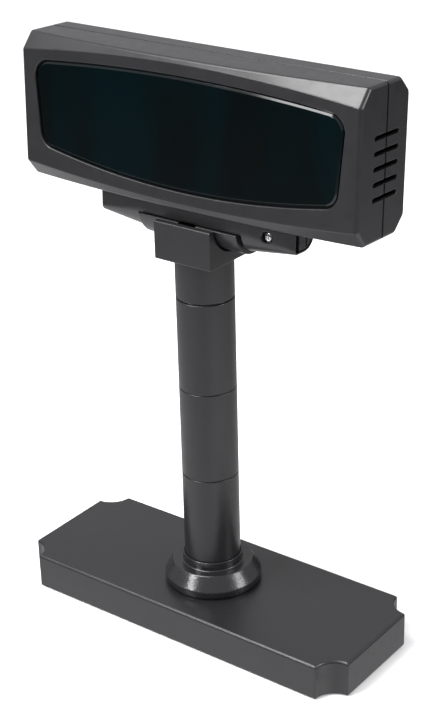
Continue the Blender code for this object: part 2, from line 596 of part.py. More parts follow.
def build_hinge(hinge, head_tilt):
    top = HINGE_UNDER_FACE - HEAD_HALF_HEIGHT - GAP
    roof = top - 2.0
    bar = add_part("hinge_bar", loft([
        [(x, y, z) for y, z in bar_outline(*arm_size(x), top)]
        for x in (-ARM_END, -ARM_START, ARM_START, ARM_END)]), "charcoal", head_tilt)
    inner = BARREL_HALF
    cut(bar, "barrel_room", box((-inner, -20, -20), (inner, 20, BAR_SEAM)))
    cut(bar, "hinge_room", box((-inner, -ARM_START_RADIUS + 1.8, -20), (inner, BAR_BACK - 1.8, roof)))
    core = -ARM_CORE_RADIUS
    groove = [(-20, -20), (20, -20), (20, core), (core, core), (core, BAR_SEAM), (-20, BAR_SEAM)]
    for side, name in ((-1, "left"), (1, "right")):
        near, far = sorted((side * (inner - 0.5), side * ARM_START))
        cut(bar, f"arm_groove_{name}", plate(groove, near, far, ALONG["X"]))
        near, far = sorted((side * (BARREL_HALF + 4), side * (ARM_END - PLUG_DEPTH - 2)))
        cut(bar, f"arm_core_{name}", box((near, -6.0, -4.0), (far, 3.0, top + 1)))
    cut(bar, "plug_pockets", together(*[
        plate(bar_outline(PLUG_RADIUS, PLUG_CORNER, PLUG_TOP), near, far, ALONG["X"])
        for near, far in ((-ARM_END - 1, PLUG_DEPTH - ARM_END), (ARM_END - PLUG_DEPTH, ARM_END + 1))]))
    roof_gaps = ((-17.0, -13.0), (-6.9, 8.5), (12.9, 17.0))
    cut(bar, "roof_gaps", together(*[
        box((near, -5.8, roof - 1), (far, 5.8, top + 1)) for near, far in roof_gaps]))
    add(bar, "lugs", together(lug(-12.7, -7.1), lug(8.7, 12.7)))
    front = -arm_size(LOCK_SCREW_X)[0]
    screw_place = (LOCK_SCREW_X, LOCK_SCREW_Z)
    cut(bar, "lock_screw_sink", rod("Y", 3.4, front - 2, front + LOCK_SCREW_DEPTH, screw_place, 24))
    cut(bar, "lock_screw_hole", rod("Y", 1.9, front, -5, screw_place, 12))
    cut(bar, "round_holes", together(
        rod("X", SHAFT_RADIUS + GAP, -14, 14, segments=20),
        rod("Z", CABLE_HOLE, roof - 1, top + 1, (0.0, CABLE_Y), 16),
        rod("Z", 1.7, -3, top + 1, (-BAR_SCREW_X, BAR_SCREW_Y), 10),
        rod("Z", 1.7, -3, top + 1, (BAR_SCREW_X, BAR_SCREW_Y), 10)))

    cover_top = BAR_SEAM - GAP
    for side, name in ((-1, "left"), (1, "right")):
        near, far = sorted((side * (KNUCKLE_HALF + 0.9), side * (inner - GAP)))
        core_near, core_far = sorted((side * KNUCKLE_HALF, side * (inner - GAP - 2)))
        cover = add_part(f"barrel_cover_{name}", plate(
            barrel_outline(BARREL_RADIUS, BAR_BACK, cover_top), near, far, ALONG["X"]), "charcoal", head_tilt)
        cut(cover, "inside", plate(barrel_outline(BARREL_RADIUS - BARREL_WALL, BAR_BACK - BARREL_WALL, -0.5),
                                   core_near, core_far, ALONG["X"]))
        near, far = sorted((side * (ARM_END - PLUG_DEPTH + GAP), side * (ARM_END - 0.4)))
        plug = add_part(f"bar_end_plug_{name}", plate(
            plug_outline(PLUG_RADIUS - GAP, PLUG_TOP - GAP, PLUG_FRONT), near, far, ALONG["X"]),
            "charcoal_smooth", head_tilt)
        near, far = sorted((side * (ARM_END - 1.6), side * (ARM_END + 1)))
        cut(plug, "slot", box((near, PLUG_SLOT[0], -PLUG_RADIUS + 1.5), (far, PLUG_SLOT[1], PLUG_TOP - 1.5)))
        near, far = sorted((side * 5.3, side * 6.8))
        washer = add_part(f"friction_washer_{name}", rod("X", KNUCKLE_RADIUS, near, far), "nylon", head_tilt)
        cut(washer, "bore", rod("X", SHAFT_RADIUS + GAP, near - 1, far + 1))
        add_screw(f"bar_screw_{name}", "Z", 2.8, (top + SHELL_WALL + 2 * GAP, top + SHELL_WALL + 2.4),
                  1.4, (-2.0, top + SHELL_WALL + 1), (side * BAR_SCREW_X, BAR_SCREW_Y), parent=head_tilt)

    shaft = add_part("tilt_shaft", rod("X", 5.0, -16.0, -13.0, segments=24), "steel", head_tilt)
    add(shaft, "stem", rod("X", SHAFT_RADIUS, -13.5, 17.5, segments=24))
    spring = add_part("disc_spring", rod("X", 5.0, 7.1, 8.4), "steel", head_tilt)
    cut(spring, "bore", rod("X", SHAFT_RADIUS + GAP, 6, 9))
    nut = add_part("shaft_nut", rod("X", 5.4, 13.0, 16.4, segments=6), "zinc", head_tilt)
    cut(nut, "bore", rod("X", SHAFT_RADIUS + GAP, 12, 18))

    head_front = front + 1.2
    lock = add_screw("tilt_lock_screw", "Y", 2.9, (head_front, front + LOCK_SCREW_DEPTH - GAP),
                     1.6, (head_front + 1.0, -4.5), (LOCK_SCREW_X, LOCK_SCREW_Z), "zinc", head_tilt)
    for name, half_x, half_z in (("slot_across", 1.9, 0.5), ("slot_down", 0.5, 1.9)):
        cut(lock, name, box((LOCK_SCREW_X - half_x, front, LOCK_SCREW_Z - half_z),
                            (LOCK_SCREW_X + half_x, head_front + 1.0, LOCK_SCREW_Z + half_z)))


# Head

def bevel_edge(x):
    """How far behind the face the top and bottom surfaces start."""
    return BEVEL_DEPTH + BEVEL_DEPTH_GAIN * (x / HEAD_HALF_WIDTH) ** 2


def face_edge(x):
    """The face's lower and upper edge, which bow towards the middle."""
    share = (x / HEAD_HALF_WIDTH) ** 2
    return FACE_BOTTOM + FACE_BOW_BELOW * share, FACE_TOP - FACE_BOW * share


def bezel_row(x):
    low, high = face_edge(x)
    depth = bevel_edge(x)
    back = SHELL_SEAM - GAP / 2
    half = HEAD_HALF_HEIGHT
    return [(x, back, -half), (x, depth, -half), (x, 0.0, low),
            (x, 0.0, high), (x, depth, half), (x, back, half)]


def rear_row(x):
    front = SHELL_SEAM + GAP / 2
    half = HEAD_HALF_HEIGHT
    return [(x, front, -half), (x, BACK_EDGE, -half), (x, HEAD_DEPTH, -BACK_HALF_HEIGHT),
            (x, HEAD_DEPTH, BACK_HALF_HEIGHT), (x, BACK_EDGE, half), (x, front, half)]


def hollow(part, thickness):
    shell = part.modifiers.new("wall", "SOLIDIFY")
    shell.thickness = thickness * MM
    shell.offset = -1.0
    shell.use_even_offset = True


def window_edge(x, upper):
    if upper:
        return WINDOW_TOP - WINDOW_TOP_BOW * x * x
    return WINDOW_BOTTOM + WINDOW_BOTTOM_BOW * x * x


def corner_centre(upper, radius):
    """Centre of the round that meets the window's side and its upper or lower edge."""
    sign = -1 if upper else 1
    x = z = 0.0
    for _ in range(20):
        z = window_edge(x, upper) + sign * radius
        x = WINDOW_SIDE + WINDOW_FLARE * z - radius
    return x, z


def window_outline(growth=0.0, edge_steps=14, corner_steps=6):
    """The window, wider at the top, with bowed edges and rounded corners, grown by a margin."""
    top_x, top_z = corner_centre(True, WINDOW_CORNER)
    low_x, low_z = corner_centre(False, WINDOW_CORNER)
    radius = WINDOW_CORNER + growth
    right = [*arc(radius, -70, -4, corner_steps, (low_x, low_z)),
             *arc(radius, 4, 86, corner_steps, (top_x, top_z))]
    shares = [1 - 2 * i / edge_steps for i in range(1, edge_steps)]
    top = [(top_x * share, window_edge(top_x * share, True) + growth) for share in shares]
    bottom = [(-low_x * share, window_edge(low_x * share, False) - growth) for share in shares]
    left = [(-x, z) for x, z in reversed(right)]
    return [*right, *top, *left, *bottom]


def vents():
    """Slots across the shells' seam on both sides."""
    slots = []
    for number in range(VENT_COUNT):
        z = VENT_TOP - VENT_PITCH * number
        half = VENT_HEIGHT / 2
        front, back = VENT_SPAN
        outline = [*arc(half, 90, 270, 3, (front + half, z)), *arc(half, -90, 90, 3, (back - half, z))]
        for side in (-1, 1):
            near, far = sorted((side * (HEAD_HALF_WIDTH - 6), side * (HEAD_HALF_WIDTH + 1)))
            slots.append(plate(outline, near, far, ALONG["X"]))
    return together(*slots)


def build_case(head):
    stations = [HEAD_HALF_WIDTH * (2 * i / 18 - 1) for i in range(19)]
    bezel = add_part("front_bezel", loft([bezel_row(x) for x in stations], closed=False), "charcoal", head)
    hollow(bezel, SHELL_WALL)
    cut(bezel, "window", plate(window_outline(), -SHELL_WALL - 1, 1, FACING_Y))
    case_places = four_places(*CASE_SCREW_PLACE)
    boss_end = SHELL_SEAM - GAP
    add(bezel, "bosses", together(*[rod("Y", 2.9, 1.2, boss_end, place, 10) for place in case_places]))
    cut(bezel, "pilot_holes", together(*[rod("Y", 1.6, 12, boss_end + 1, place, 8) for place in case_places]))
    cut(bezel, "vents", vents())

    rear = add_part("rear_shell", loft([rear_row(-HEAD_HALF_WIDTH), rear_row(HEAD_HALF_WIDTH)], closed=False),
                    "charcoal", head)
    hollow(rear, SHELL_WALL)
    board_back = 19.0
    sink = 32.0
    add(rear, "screw_tubes", together(*[
        rod("Y", 4.2, SHELL_SEAM + GAP, HEAD_DEPTH - 1, place, 12) for place in case_places]))
    board_places = four_places(*BOARD_SCREW_PLACE)
    add(rear, "board_posts", together(*[
        rod("Y", 3.0, board_back + GAP, HEAD_DEPTH - 1, place, 8) for place in board_places]))
    cut(rear, "screw_sinks", together(*[
        rod("Y", 3.2, sink, HEAD_DEPTH + 1, place, 12) for place in case_places]))
    cut(rear, "screw_holes", together(*[
        rod("Y", 1.7, SHELL_SEAM - 1, sink + 1, place, 8) for place in case_places]))
    cut(rear, "post_holes", together(*[
        rod("Y", 1.4, board_back - 1, board_back + 12, place, 6) for place in board_places]))
    cut(rear, "vents", vents())
    hinge_y = HINGE_BEHIND_FACE
    under = (-HEAD_HALF_HEIGHT - 1, -HEAD_HALF_HEIGHT + SHELL_WALL + 1)
    cut(rear, "under_holes", together(
        rod("Z", CABLE_HOLE, *under, (0.0, hinge_y + CABLE_Y), 16),
        rod("Z", 1.7, *under, (-BAR_SCREW_X, hinge_y + BAR_SCREW_Y), 10),
        rod("Z", 1.7, *under, (BAR_SCREW_X, hinge_y + BAR_SCREW_Y), 10)))

    for number, place in enumerate(case_places, 1):
        add_screw(f"case_screw_{number}", "Y", 2.8, (sink + GAP, sink + 2.2), 1.3, (14.0, sink + 1), place,
                  parent=head)
    chamfer, chamfer_depth = PANE_CHAMFER
    flange_front = SHELL_WALL + GAP
    pane_rows = ((PANE_FRONT, -PANE_GAP - chamfer), (PANE_FRONT + chamfer_depth, -PANE_GAP),
                 (flange_front, -PANE_GAP), (flange_front, PANE_FLANGE), (PANE_BACK, PANE_FLANGE))
    add_part("display_window", loft([
        [(x, y, z) for x, z in window_outline(growth)] for y, growth in pane_rows]), "smoked", head)


def build_electronics(head):
    tube = add_part("vfd_tube", box((-94, 6.5, -20), (94, 14.0, 20)), "tube_glass", head)
    add(tube, "exhaust_tip", rod("X", 2.0, 93, 98, (10.2, 0.0), 12, 0.8))
    board_front, board_back = 17.0, 19.0 - GAP
    board = add_part("display_board", box((-103, board_front, -31), (103, board_back, 31)), "board", head)
    screw_places = four_places(*BOARD_SCREW_PLACE)
    cut(board, "screw_holes", together(*[
        rod("Y", 1.7, board_front - 1, board_back + 1, place, 8) for place in screw_places]))
    behind = board_back + GAP
    add_part("controller_chip", box((18, behind, -7), (32, behind + 2.2, 7)), "chip", head)
    add_part("driver_chip", box((-46, behind, -5), (-22, behind + 2.6, 5)), "chip", head)
    coil = turned("inverter_coil", [(9, 4), (9, -4), (4, -4), (4, 4)], "ferrite", head, 24)
    coil.rotation_euler = (math.radians(90), 0.0, 0.0)
    coil.location = Vector((64, behind + 4.3, 4)) * MM
    add_part("filter_capacitor", rod("Y", 4.0, behind, behind + 11.0, (-66.0, 8.0), 20), "chip", head)
    add_part("board_connector", box((-8, behind, -27), (8, behind + 6.0, -19)), "nylon", head)
    for number, place in enumerate((screw_places[0], screw_places[3]), 1):
        add_screw(f"board_screw_{number}", "Y", 2.7, (board_front - GAP - 1.8, board_front - GAP),
                  1.1, (board_front - 1, 29.0), place, parent=head)


def build_harnesses(head):
    """The leads inside the object, up the pole and down through the hinge, with slack at each joint."""
    build_harness("pole_harness", [
        (0, 22.4, 12.0), (0, 22.3, 13.4), (0, 21.2, 14.2), (0, 16, 14.3), (0, 9, 14.3),
        (0, 4, 15.2), (0, 1, 18), (0, 0, 24), (0, 0, 120), (0, 0, 224)], 2.0)
    down_y = HINGE_BEHIND_FACE + CABLE_Y
    build_harness("head_harness", [(0, 27, -23), (0, 30, -24), (0, down_y, -28), (0, down_y, -36),
                                   (0, down_y, -43.5)], 2.2, head)


clear_scene()
PARTS = make_collection("customer_pole_display")
CUTTERS = make_collection("cutters")
MATERIALS = {name: make_finish(name) for name in FINISHES}

swivel_pivot = make_pivot("swivel_axis", (0.0, 0.0, SWIVEL_SEAM))
neck_hinge = make_pivot("neck_hinge_axis", (0.0, HINGE_Y, HINGE_Z - SWIVEL_SEAM), swivel_pivot)
head_tilt = make_pivot("tilt_axis", (0.0, HINGE_Y, HINGE_Z), None, HEAD_LEAN)
head_face = make_pivot("face_middle", (0.0, -HINGE_BEHIND_FACE, HINGE_UNDER_FACE), head_tilt)

build_base()
build_flange()
build_pole()
build_neck(swivel_pivot, neck_hinge)
build_hinge(neck_hinge, head_tilt)
build_case(head_face)
build_electronics(head_face)
build_harnesses(head_face)
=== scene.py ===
"""The looks of the customer pole display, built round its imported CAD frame.

Sizes are in millimetres, in the frame's axes: +X to the display's right, -Y out of its face, +Z up.
The moulded shells, the pole and the hinge are modelled again with rounded edges in place of their CAD nodes.
"""
import json
import math

import bmesh
import bpy
from mathutils import Matrix, Vector


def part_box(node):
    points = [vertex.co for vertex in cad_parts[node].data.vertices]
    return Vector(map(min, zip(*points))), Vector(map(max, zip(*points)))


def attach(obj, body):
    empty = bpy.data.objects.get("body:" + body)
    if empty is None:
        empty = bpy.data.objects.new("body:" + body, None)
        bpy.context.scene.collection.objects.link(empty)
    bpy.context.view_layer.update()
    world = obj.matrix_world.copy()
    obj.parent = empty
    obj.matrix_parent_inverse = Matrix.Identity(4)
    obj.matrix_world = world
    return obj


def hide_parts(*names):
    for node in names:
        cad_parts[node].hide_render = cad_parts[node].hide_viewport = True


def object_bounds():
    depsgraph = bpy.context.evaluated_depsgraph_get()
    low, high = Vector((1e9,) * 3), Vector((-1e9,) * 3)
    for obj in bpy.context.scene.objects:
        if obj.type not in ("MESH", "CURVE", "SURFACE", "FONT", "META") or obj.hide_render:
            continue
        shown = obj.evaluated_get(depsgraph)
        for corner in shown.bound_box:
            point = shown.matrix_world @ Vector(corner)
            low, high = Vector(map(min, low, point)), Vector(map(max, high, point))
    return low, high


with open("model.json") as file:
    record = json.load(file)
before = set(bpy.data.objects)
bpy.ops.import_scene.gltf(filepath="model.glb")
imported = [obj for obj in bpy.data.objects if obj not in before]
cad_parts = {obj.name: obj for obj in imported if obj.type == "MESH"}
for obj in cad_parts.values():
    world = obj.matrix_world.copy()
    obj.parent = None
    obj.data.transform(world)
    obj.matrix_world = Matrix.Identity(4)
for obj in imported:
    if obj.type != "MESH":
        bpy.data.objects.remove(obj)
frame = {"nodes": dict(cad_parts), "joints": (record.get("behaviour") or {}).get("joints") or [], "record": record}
cad_low, cad_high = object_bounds()

MM = 0.001
GAP = 0.3

# Camera
CAMERA_AZIMUTH = 37.57
CAMERA_ELEVATION = 25.12
CAMERA_ROLL = -1.58
CAMERA_DISTANCE = 958.5
CAMERA_AIM = (4.4, 0.2, -4.9)  # from the middle of the object
CAMERA_LENS = 82.82

# Softboxes: name, azimuth, elevation, distance in metres, size in metres and power
SOFTBOXES = (
    ("key", -36, 62, 1.7, (0.8, 1.1), 42),
    ("front_strip", -21, 26, 1.7, (0.36, 0.36), 18),
    ("side", 105, 24, 1.8, (0.6, 0.8), 17),
)
# Grey levels of the surroundings by the height of the direction, from straight down to straight up
WORLD_STOPS = ((-1.0, 0.9), (-0.52, 0.9), (-0.40, 0.50), (-0.355, 0.40), (-0.325, 0.09), (-0.20, 0.02),
               (-0.04, 0.02), (0.02, 0.55), (1.0, 0.85))

FLOOR_HALF = 30.0  # in metres
SHARP_ANGLE = math.radians(28)  # edges that turn by more than this are shaded sharp

# Base
BASE_EDGE = 1.8
BASE_WALL = 2.5
FOOT_EDGE = 0.6
SCALLOP_RADIUS = 13.4
CUSP_RADIUS = 0.8

# Flange and pole
FLANGE_HOLE = 20.0  # radius of the hole in the base's cover
FLANGE_SPIGOT = 19.5  # radius of the part that goes down through it
FLANGE_FOOT = 28.4
FLANGE_RIM = 29.6
FLANGE_SHOULDER = 24.2
FLANGE_FOOT_TOP = 1.7  # above the cover, like the next four
FLANGE_RIM_BOTTOM = 1.9
FLANGE_RIM_TOP = 5.3
FLANGE_CONE_TOP = 13.9
FLANGE_STEP = 13.7
FLANGE_BORE = 11.8
COLLAR_RADIUS = 18.4
COLLAR_BORE = 17.3
COLLAR_TOP = 42.3  # its lip stands round the foot of the pole
SOCKET_RADIUS = 14.6
SPIGOT_RADIUS = 14.3
SPIGOT_HEIGHT = 8.0
POLE_BORE = 12.2
SWIVEL_SPIGOT = 10.5
SWIVEL_BORE = 8.0

# Neck
NECK_BOTTOM = 235.4
NECK_LIP_FRONT = -2.3  # below the hinge's axis, like the next one
NECK_LIP_BACK = -6.8
SADDLE_RADIUS = 18.4
NECK_COLLAR_RADIUS = 17.0
NUT_ROOM_RADIUS = 14.6
NUT_ROOM = (219.0, 233.0)

# Hinge and head
HEAD_LEAN = math.radians(-2.56)
HINGE_BEHIND_FACE = 22.25
HINGE_UNDER_FACE = 47.95
HEAD_HALF_WIDTH = 113.6
HEAD_HALF_HEIGHT = 41.9
HEAD_DEPTH = 46.6
SEAM = 25.0
SEAM_REVEAL = 0.55
SEAM_DEPTH = 0.9
SEAM_EDGE = 0.2
WALL = 2.4
SIDE_ROUNDING = 2.2
FACE_TOP = 39.0
FACE_BOTTOM = -38.0
FACE_BOW = 6.5
FACE_BOW_BELOW = 5.5
BEVEL_DEPTH = 0.8
BEVEL_DEPTH_GAIN = 7.0
BACK_EDGE = 38.1
BACK_HALF_HEIGHT = 33.5
WINDOW_TOP = 32.65
WINDOW_TOP_BOW = 4.8 / 100.0 ** 2
WINDOW_BOTTOM = -31.6
WINDOW_BOTTOM_BOW = 8.6 / 92.0 ** 2
WINDOW_SIDE = 102.6
WINDOW_FLARE = 0.087
WINDOW_CORNER = 10.4
VENT_COUNT = 5
VENT_TOP = 14.4
VENT_PITCH = 8.15
VENT_HEIGHT = 2.8
VENT_SPAN = (13.4, 37.0)
CASE_SCREW_PLACE = (107.2, 30.0)
CASE_SCREW_SINK = (3.2, 3.9, 13.3)  # radius, radius at its rim, and depth
CASE_SCREW_TUBE = 4.2  # radius of the tube round it
PANE_FRONT = 0.4
PANE_BACK = 4.7
PANE_FLANGE = 1.6  # how far it reaches behind the bezel

BARREL_RADIUS = 17.4
BARREL_WALL = 1.9
BARREL_HALF = 33.9
BARREL_SEAM = -2.8
ARM_START = 35.6
ARM_START_RADIUS = 15.1
ARM_END_RADIUS = 9.6
ARM_END_CORNER = 3.5
ARM_CORE_RADIUS = 11.0
BAR_BACK = 14.0
BAR_WALL = 1.8
BAR_ROOF = 2.0
PLUG_DEPTH = 4.0
PLUG_RADIUS = 8.5
PLUG_CORNER = 1.5
PLUG_TOP = 3.75
PLUG_FRONT = -4.9
PLUG_SLOT = (1.5, 2.7)
LOCK_SCREW_X = 50.9
LOCK_SCREW_Z = -1.6
LOCK_SCREW_DEPTH = 3.0
LOCK_SCREW_HEAD = (2.5, 1.5)  # radius and height
LOCK_SCREW_SHANK = (1.6, 7.0)  # radius, and length with the head

ALONG_X = Matrix(((0, 0, 1, 0), (1, 0, 0, 0), (0, 1, 0, 0), (0, 0, 0, 1)))
FACING_BACK = Matrix.Rotation(math.radians(-90), 4, "X")

JOINTS = {joint["name"]: Vector(joint["pos_m"]) / MM for joint in frame["joints"]}
HINGE = JOINTS["tilt"]


def node_box(name):
    low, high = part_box(name)
    return low / MM, high / MM


def metres(matrix):
    """The same placement with its offset in metres."""
    scaled = matrix.copy()
    scaled.translation = matrix.translation * MM
    return scaled


ON_HINGE = Matrix.Translation(HINGE)
LEANING = ON_HINGE @ Matrix.Rotation(HEAD_LEAN, 4, "X")
ON_FACE = LEANING @ Matrix.Translation((0.0, -HINGE_BEHIND_FACE, HINGE_UNDER_FACE))


# Outlines

def arc(radius, start, end, steps, centre=(0.0, 0.0)):
    angles = [math.radians(start + (end - start) * i / steps) for i in range(steps + 1)]
    return [(centre[0] + radius * math.cos(a), centre[1] + radius * math.sin(a)) for a in angles]


def fillet(points, radii, steps=4):
    """A closed outline with its corners rounded. The radii are one number, or one for each corner."""
    count = len(points)
    if isinstance(radii, (int, float)):
        radii = [radii] * count
    rounded = []
    for i, radius in enumerate(radii):
        corner = Vector(points[i])
        if not radius:
            rounded.append(tuple(corner))
            continue
        before = Vector(points[i - 1]) - corner
        after = Vector(points[(i + 1) % count]) - corner
        longest = 0.49 * min(before.length, after.length)
        before.normalize()
        after.normalize()
        half = before.angle(after) / 2
        reach = min(radius / math.tan(half), longest)
        radius = reach * math.tan(half)
        centre = corner + (before + after).normalized() * (radius / math.sin(half))
        first = corner + before * reach - centre
        last = corner + after * reach - centre
        start = math.atan2(first.y, first.x)
        sweep = math.atan2(first.x * last.y - first.y * last.x, first.dot(last))
        for k in range(steps + 1):
            turn = start + sweep * k / steps
            rounded.append((centre.x + radius * math.cos(turn), centre.y + radius * math.sin(turn)))
    return rounded


def inset(points, distance):
    """A closed outline drawn in by a distance."""
    count = len(points)
    corners = [Vector(point) for point in points]
    area = sum(corners[i].x * corners[(i + 1) % count].y - corners[(i + 1) % count].x * corners[i].y
               for i in range(count))
    reach = math.copysign(distance, area)
    drawn = []
    for i, corner in enumerate(corners):
        before = (corner - corners[i - 1]).normalized()
        after = (corners[(i + 1) % count] - corner).normalized()
        left_before = Vector((-before.y, before.x))
        left_after = Vector((-after.y, after.x))
        mitre = (left_before + left_after) / (1 + left_before.dot(left_after))
        drawn.append(tuple(corner + mitre * reach))
    return drawn


def rounding(radius, steps):
    """Pairs of how far in and how far along, round a quarter turn, from an end face to its side."""
    turns = [math.pi / 2 * i / steps for i in range(steps + 1)]
    return [(radius * (1 - math.sin(turn)), radius * (1 - math.cos(turn))) for turn in turns]


# Meshes, drawn in millimetres

def to_mesh(bm, turn=None):
    if turn is not None:
        bmesh.ops.transform(bm, matrix=turn, verts=bm.verts)
    bmesh.ops.recalc_face_normals(bm, faces=bm.faces)
    bmesh.ops.scale(bm, vec=(MM, MM, MM), verts=bm.verts)
    mesh = bpy.data.meshes.new("shape")
    bm.to_mesh(mesh)
    bm.free()
    return mesh


def skin(rows, ring=False, turn=None):
    """A skin over closed rows of points. It ends in flat caps, or runs round to its first row."""
    bm = bmesh.new()
    loops = [[bm.verts.new(point) for point in row] for row in rows]
    pairs = list(zip(loops, loops[1:]))
    if ring:
        pairs.append((loops[-1], loops[0]))
    else:
        bm.faces.new(loops[0])
        bm.faces.new(loops[-1])
    count = len(loops[0])
    for near, far in pairs:
        for i in range(count):
            j = (i + 1) % count
            bm.faces.new((near[i], near[j], far[j], far[i]))
    return to_mesh(bm, turn)


def lathe(profile, ring=False, segments=96, turn=None):
    """A turned shape about Z through (radius, height) points."""
    rows = [[(x, y, z) for x, y in arc(radius, 0, 360, segments)[:-1]] for radius, z in profile]
    return skin(rows, ring, turn)


def prism(outline, low, high, edge, steps=3, turn=None):
    """An outline drawn in XY and extruded along Z, with its end edges rounded."""
    turns = rounding(edge, steps)
    levels = [(depth, low + along) for depth, along in turns]
    levels += [(depth, high - along) for depth, along in reversed(turns)]
    return skin([[(x, y, z) for x, y in inset(outline, depth)] for depth, z in levels], turn=turn)


def block(low, high):
    """A box that cuts: its edges stay sharp."""
    corners = [(low[0], low[1]), (high[0], low[1]), (high[0], high[1]), (low[0], high[1])]
    return skin([[(x, y, z) for x, y in corners] for z in (low[2], high[2])])


def rod(radius, low, high, segments=48, turn=None):
    return lathe([(radius, low), (radius, high)], segments=segments, turn=turn)


def together(*meshes):
    bm = bmesh.new()
    for mesh in meshes:
        bm.from_mesh(mesh)
    mesh = bpy.data.meshes.new("shapes")
    bm.to_mesh(mesh)
    bm.free()
    return mesh


def combine(mesh, operation, tool):
    """The mesh after a Boolean with the tool."""
    body = bpy.data.objects.new("body", mesh)
    knife = bpy.data.objects.new("knife", tool)
    for obj in (body, knife):
        bpy.context.scene.collection.objects.link(obj)
    step = body.modifiers.new("step", "BOOLEAN")
    step.operation = operation
    step.object = knife
    made = bpy.data.meshes.new_from_object(body.evaluated_get(bpy.context.evaluated_depsgraph_get()))
    for obj in (body, knife):
        bpy.data.objects.remove(obj)
    return made


def cut(mesh, *tools):
    for tool in tools:
        mesh = combine(mesh, "DIFFERENCE", tool)
    return mesh


# Materials

class Shading:
    """A material under construction: its nodes are linked as they are added."""

    def __init__(self, name):
        self.material = bpy.data.materials.new(name)
        self.material.use_nodes = True
        self.tree = self.material.node_tree
        self.shader = self.tree.nodes["Principled BSDF"]
        self.place = self.add("TexCoord").outputs["Object"]

    def add(self, kind, inputs=None, **settings):
        made = self.tree.nodes.new("ShaderNode" + kind)
        for name, value in settings.items():
            setattr(made, name, value)
        for name, value in (inputs or {}).items():
            self.feed(made.inputs[name], value)
        return made

    def feed(self, socket, value):
        if isinstance(value, bpy.types.NodeSocket):
            self.tree.links.new(value, socket)
        else:
            socket.default_value = value

    def set(self, **values):
        for name, value in values.items():
            self.feed(self.shader.inputs[name.replace("_", " ").title().replace("Ior", "IOR")], value)

    def noise(self, size, detail, stretch=None):
        """Noise whose features are about a size in millimetres across."""
        place = self.place
        if stretch is not None:
            place = self.add("Mapping", {"Vector": place, "Scale": stretch}).outputs["Vector"]
        made = self.add("TexNoise", {"Vector": place, "Scale": 1 / (size * MM), "Detail": detail})
        return made.outputs["Fac"]

    def span(self, value, low, high, start=0.3, end=0.7):
        """The value mapped from start..end to low..high."""
        made = self.add("MapRange", {"Value": value, "From Min": start, "From Max": end,
                                     "To Min": low, "To Max": high})
        return made.outputs["Result"]

    def maths(self, operation, first, second):
        return self.add("Math", {0: first, 1: second}, operation=operation).outputs["Value"]

    def blend(self, share, first, second):
        made = self.add("Mix", {0: share, 6: first, 7: second}, data_type="RGBA")
        return made.outputs[2]

    def edges(self, radius):
        """The normal with its edges rounded off, and a mask that is 1 along them."""
        soft = self.add("Bevel", {"Radius": radius * MM}, samples=6).outputs["Normal"]
        plain = self.add("NewGeometry").outputs["Normal"]
        likeness = self.add("VectorMath", {0: soft, 1: plain}, operation="DOT_PRODUCT").outputs["Value"]
        return soft, self.span(likeness, 1.0, 0.0, 0.86, 0.995)

    def bump(self, height, depth, normal=None):
        inputs = {"Height": height, "Distance": depth * MM}
        if normal is not None:
            inputs["Normal"] = normal
        return self.add("Bump", inputs).outputs["Normal"]


def tint(colour, factor):
    return (*(part * factor for part in colour), 1.0)


def moulded(name, colour, roughness, grain, grain_size=0.45, mottle=0.0):
    """Moulded plastic: an eroded grain, slow changes of tone and sheen, edges made glossier by handling, and a
    painted highlight that lightens every edge.
    """
    made = Shading(name)
    soft, edge = made.edges(0.45)
    broad = made.noise(38.0, 3.0)
    cloud = made.noise(7.0, 4.0)
    tone = made.blend(made.span(broad, 0.0, 1.0), tint(colour, 0.93), tint(colour, 1.07))
    # Painted highlight: the colour is lightened along every edge, where rounded edges would catch the light.
    tone = made.blend(made.maths("MULTIPLY", edge, 0.45), tone, tint(colour, 1.9))
    fine = made.noise(grain_size, 3.0)
    coarse = made.noise(2.4, 3.0)
    height = made.maths("ADD", made.maths("MULTIPLY", fine, grain), made.maths("MULTIPLY", coarse, mottle))
    sheen = made.maths("ADD", made.span(cloud, -0.03, 0.03), made.span(fine, -0.05, 0.05))
    gloss = made.maths("SUBTRACT", made.maths("ADD", sheen, roughness), made.maths("MULTIPLY", edge, 0.06))
    made.set(base_color=tone, roughness=gloss, normal=made.bump(height, 0.05, soft))
    return made.material


def smoked(name):
    """Near-black acrylic with a faint green and blue cast where the display behind it comes through."""
    made = Shading(name)
    soft, _ = made.edges(0.2)
    bands = made.noise(26.0, 1.0, stretch=(1.0, 1.0, 0.25))
    green, blue = (0.0010, 0.0018, 0.0020, 1), (0.0006, 0.0030, 0.0040, 1)
    tone = made.blend(made.span(bands, 0.0, 1.0, 0.35, 0.65), green, blue)
    smears = made.noise(16.0, 4.0)
    sheen = made.span(smears, 0.045, 0.085)
    made.set(base_color=tone, roughness=sheen, specular_ior_level=0.36, normal=soft)
    return made.material


def metal(name, colour, roughness, streak=(1.0, 1.0, 1.0), wear=0.0):
    """Bare or plated metal with fine tool marks."""
    made = Shading(name)
    soft, _ = made.edges(0.15)
    marks = made.noise(0.35, 3.0, stretch=streak)
    stain = made.noise(4.0, 4.0)
    tone = made.blend(made.span(stain, 0.0, 1.0), tint(colour, 0.82), tint(colour, 1.08))
    made.set(base_color=tone, metallic=1.0, roughness=made.span(marks, roughness - 0.06, roughness + 0.1),
             normal=made.bump(marks, 0.012 + wear, soft))
    return made.material


def grained(name, colour, roughness, size, depth, variation=0.1, **extra):
    """A plain part with its own grain: rubber, nylon, epoxy, ferrite or a cable's sleeve."""
    made = Shading(name)
    soft, _ = made.edges(0.2)
    fine = made.noise(size, 3.0)
    broad = made.noise(size * 14, 3.0)
    tone = made.blend(made.span(broad, 0.0, 1.0), tint(colour, 1 - variation), tint(colour, 1 + variation))
    made.set(base_color=tone, roughness=made.span(fine, roughness - 0.06, roughness + 0.06),
             normal=made.bump(fine, depth, soft), **extra)
    return made.material


